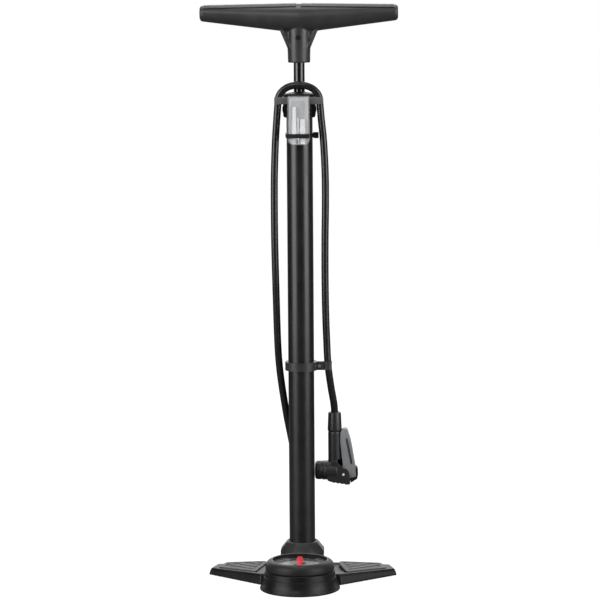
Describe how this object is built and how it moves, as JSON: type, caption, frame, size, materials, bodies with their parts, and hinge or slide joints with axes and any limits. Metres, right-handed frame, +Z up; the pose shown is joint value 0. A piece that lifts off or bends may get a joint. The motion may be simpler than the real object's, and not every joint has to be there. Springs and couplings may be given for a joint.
{
  "type": "floor bike pump",
  "caption": "Upright floor bike pump with a T handle, a steel barrel, a two-footed base with a round pressure gauge, and a stowed hose with a lever pump head.",
  "frame": {"origin": "where the barrel's axis meets the floor", "axes": "+Z up along the barrel, +X to the right, -Y to the front, where the gauge is"},
  "size_m": [0.2162, 0.1472, 0.6355],
  "materials": {
    "base": "satin moulded nylon",
    "tread": "moulded rubber",
    "seal_rubber": "soft rubber",
    "screw_steel": "zinc plated",
    "barrel_paint": "satin black paint",
    "collar": "satin moulded nylon",
    "alloy": "turned",
    "brass": "turned brass",
    "hose_rubber": "smooth rubber",
    "needle": "matt black paint",
    "dial": "silver print",
    "lens": "clear moulded",
    "bezel": "satin moulded nylon",
    "marker": "red moulded",
    "cap": "satin moulded nylon",
    "guide": "acetal",
    "case": "clear moulded",
    "card": "grey board",
    "adapter": "white nylon",
    "tie": "nylon strap",
    "rod": "gloss black",
    "grip": "satin moulded nylon",
    "grip_pad": "soft rubber",
    "dark_screw": "blackened",
    "head": "satin moulded nylon",
    "lever": "grey moulded nylon",
    "lever_inlay": "soft rubber"
  },
  "bodies": {
    "root": {"base_casting": "base", "left_foot_pad": "tread", "right_foot_pad": "tread", "base_covers": "base", "rubber_feet": "seal_rubber", "base_screws": "screw_steel", "barrel": "barrel_paint", "barrel_collar": "collar", "barrel_seal": "seal_rubber", "foot_valve": "alloy", "valve_spring": "screw_steel", "hose_barb": "brass", "hose_ferrule": "screw_steel", "hose": "hose_rubber", "swivel_barb": "brass", "gauge_movement": "brass", "bourdon_tube": "brass", "hairspring": "screw_steel", "gauge_dial": "dial", "gauge_lens": "lens", "gauge_bezel": "bezel", "barrel_cap": "cap", "rod_bush": "guide", "rod_wiper": "seal_rubber", "hose_clip": "cap", "clip_screw": "screw_steel", "accessory_case": "case", "case_card": "card", "cone_adapter": "adapter", "valve_adapter": "adapter", "ball_needle": "screw_steel", "cable_tie": "tie"},
    "valve_disc": {"valve_disc": "seal_rubber"},
    "piston": {"piston": "guide", "piston_seal": "seal_rubber"},
    "handle": {"piston_rod": "rod", "piston_nut": "screw_steel", "rod_bumper": "seal_rubber", "handle_grip": "grip", "left_grip_pad": "grip_pad", "right_grip_pad": "grip_pad", "handle_screw": "dark_screw"},
    "sector": {"sector_gear": "brass"},
    "needle": {"gauge_needle": "needle"},
    "marker": {"target_marker": "marker", "marker_clip": "marker"},
    "head": {"hose_sleeve": "head", "head_body": "head", "nozzle_nut": "head", "nozzle_gland": "seal_rubber", "lever_pin": "screw_steel"},
    "plunger": {"head_plunger": "guide"},
    "lever": {"head_lever": "lever", "lever_insert": "lever_inlay", "lever_cam": "head"}
  },
  "joints": [
    {"name": "handle_slide", "type": "slide", "parent": "root", "child": "piston", "axis": [0, 0, 1], "range_m": [-0.018, 0.41]},
    {"name": "handle_turn", "type": "hinge", "parent": "piston", "child": "handle", "pos_m": [0, 0, 0.58], "axis": [0, 0, 1], "continuous": true},
    {"name": "valve_lift", "type": "slide", "parent": "root", "child": "valve_disc", "axis": [0, 0, 1], "range_m": [-0.0015, 0], "stiffness_N_per_m": 200, "springref_m": 0.002, "deforming": ["valve_spring"]},
    {"name": "sector_turn", "type": "hinge", "parent": "root", "child": "sector", "pos_m": [-0.02114, -0.07019, 0.019], "axis": [0, 0, 1], "range_deg": [0, 33.75], "stiffness_Nm_per_rad": 0.002, "springref_deg": -2.86},
    {"name": "needle_turn", "type": "hinge", "parent": "root", "child": "needle", "pos_m": [0, -0.0625, 0.026], "axis": [0, 0, 1], "range_deg": [-270, 0]},
    {"name": "marker_turn", "type": "hinge", "parent": "root", "child": "marker", "pos_m": [0, -0.0625, 0.032], "axis": [0, 0, 1], "continuous": true},
    {"name": "head_swivel", "type": "hinge", "parent": "root", "child": "head", "pos_m": [0.0362, 0.012, 0.156], "axis": [0, 0, -1], "range_deg": [0, 95]},
    {"name": "lever_flip", "type": "hinge", "parent": "head", "child": "lever", "pos_m": [0.0459, 0.012, 0.1145], "axis": [0, 1, 0], "range_deg": [0, 90]},
    {"name": "plunger_push", "type": "slide", "parent": "head", "child": "plunger", "axis": [-1, 0, 0], "range_m": [0, 0.0018]}
  ],
  "couplings": [
    {"joint": "needle_turn", "follows": "sector_turn", "ratio": -8},
    {"joint": "plunger_push", "follows": "lever_flip", "m_per_rad": 0.0011448}
  ]
}
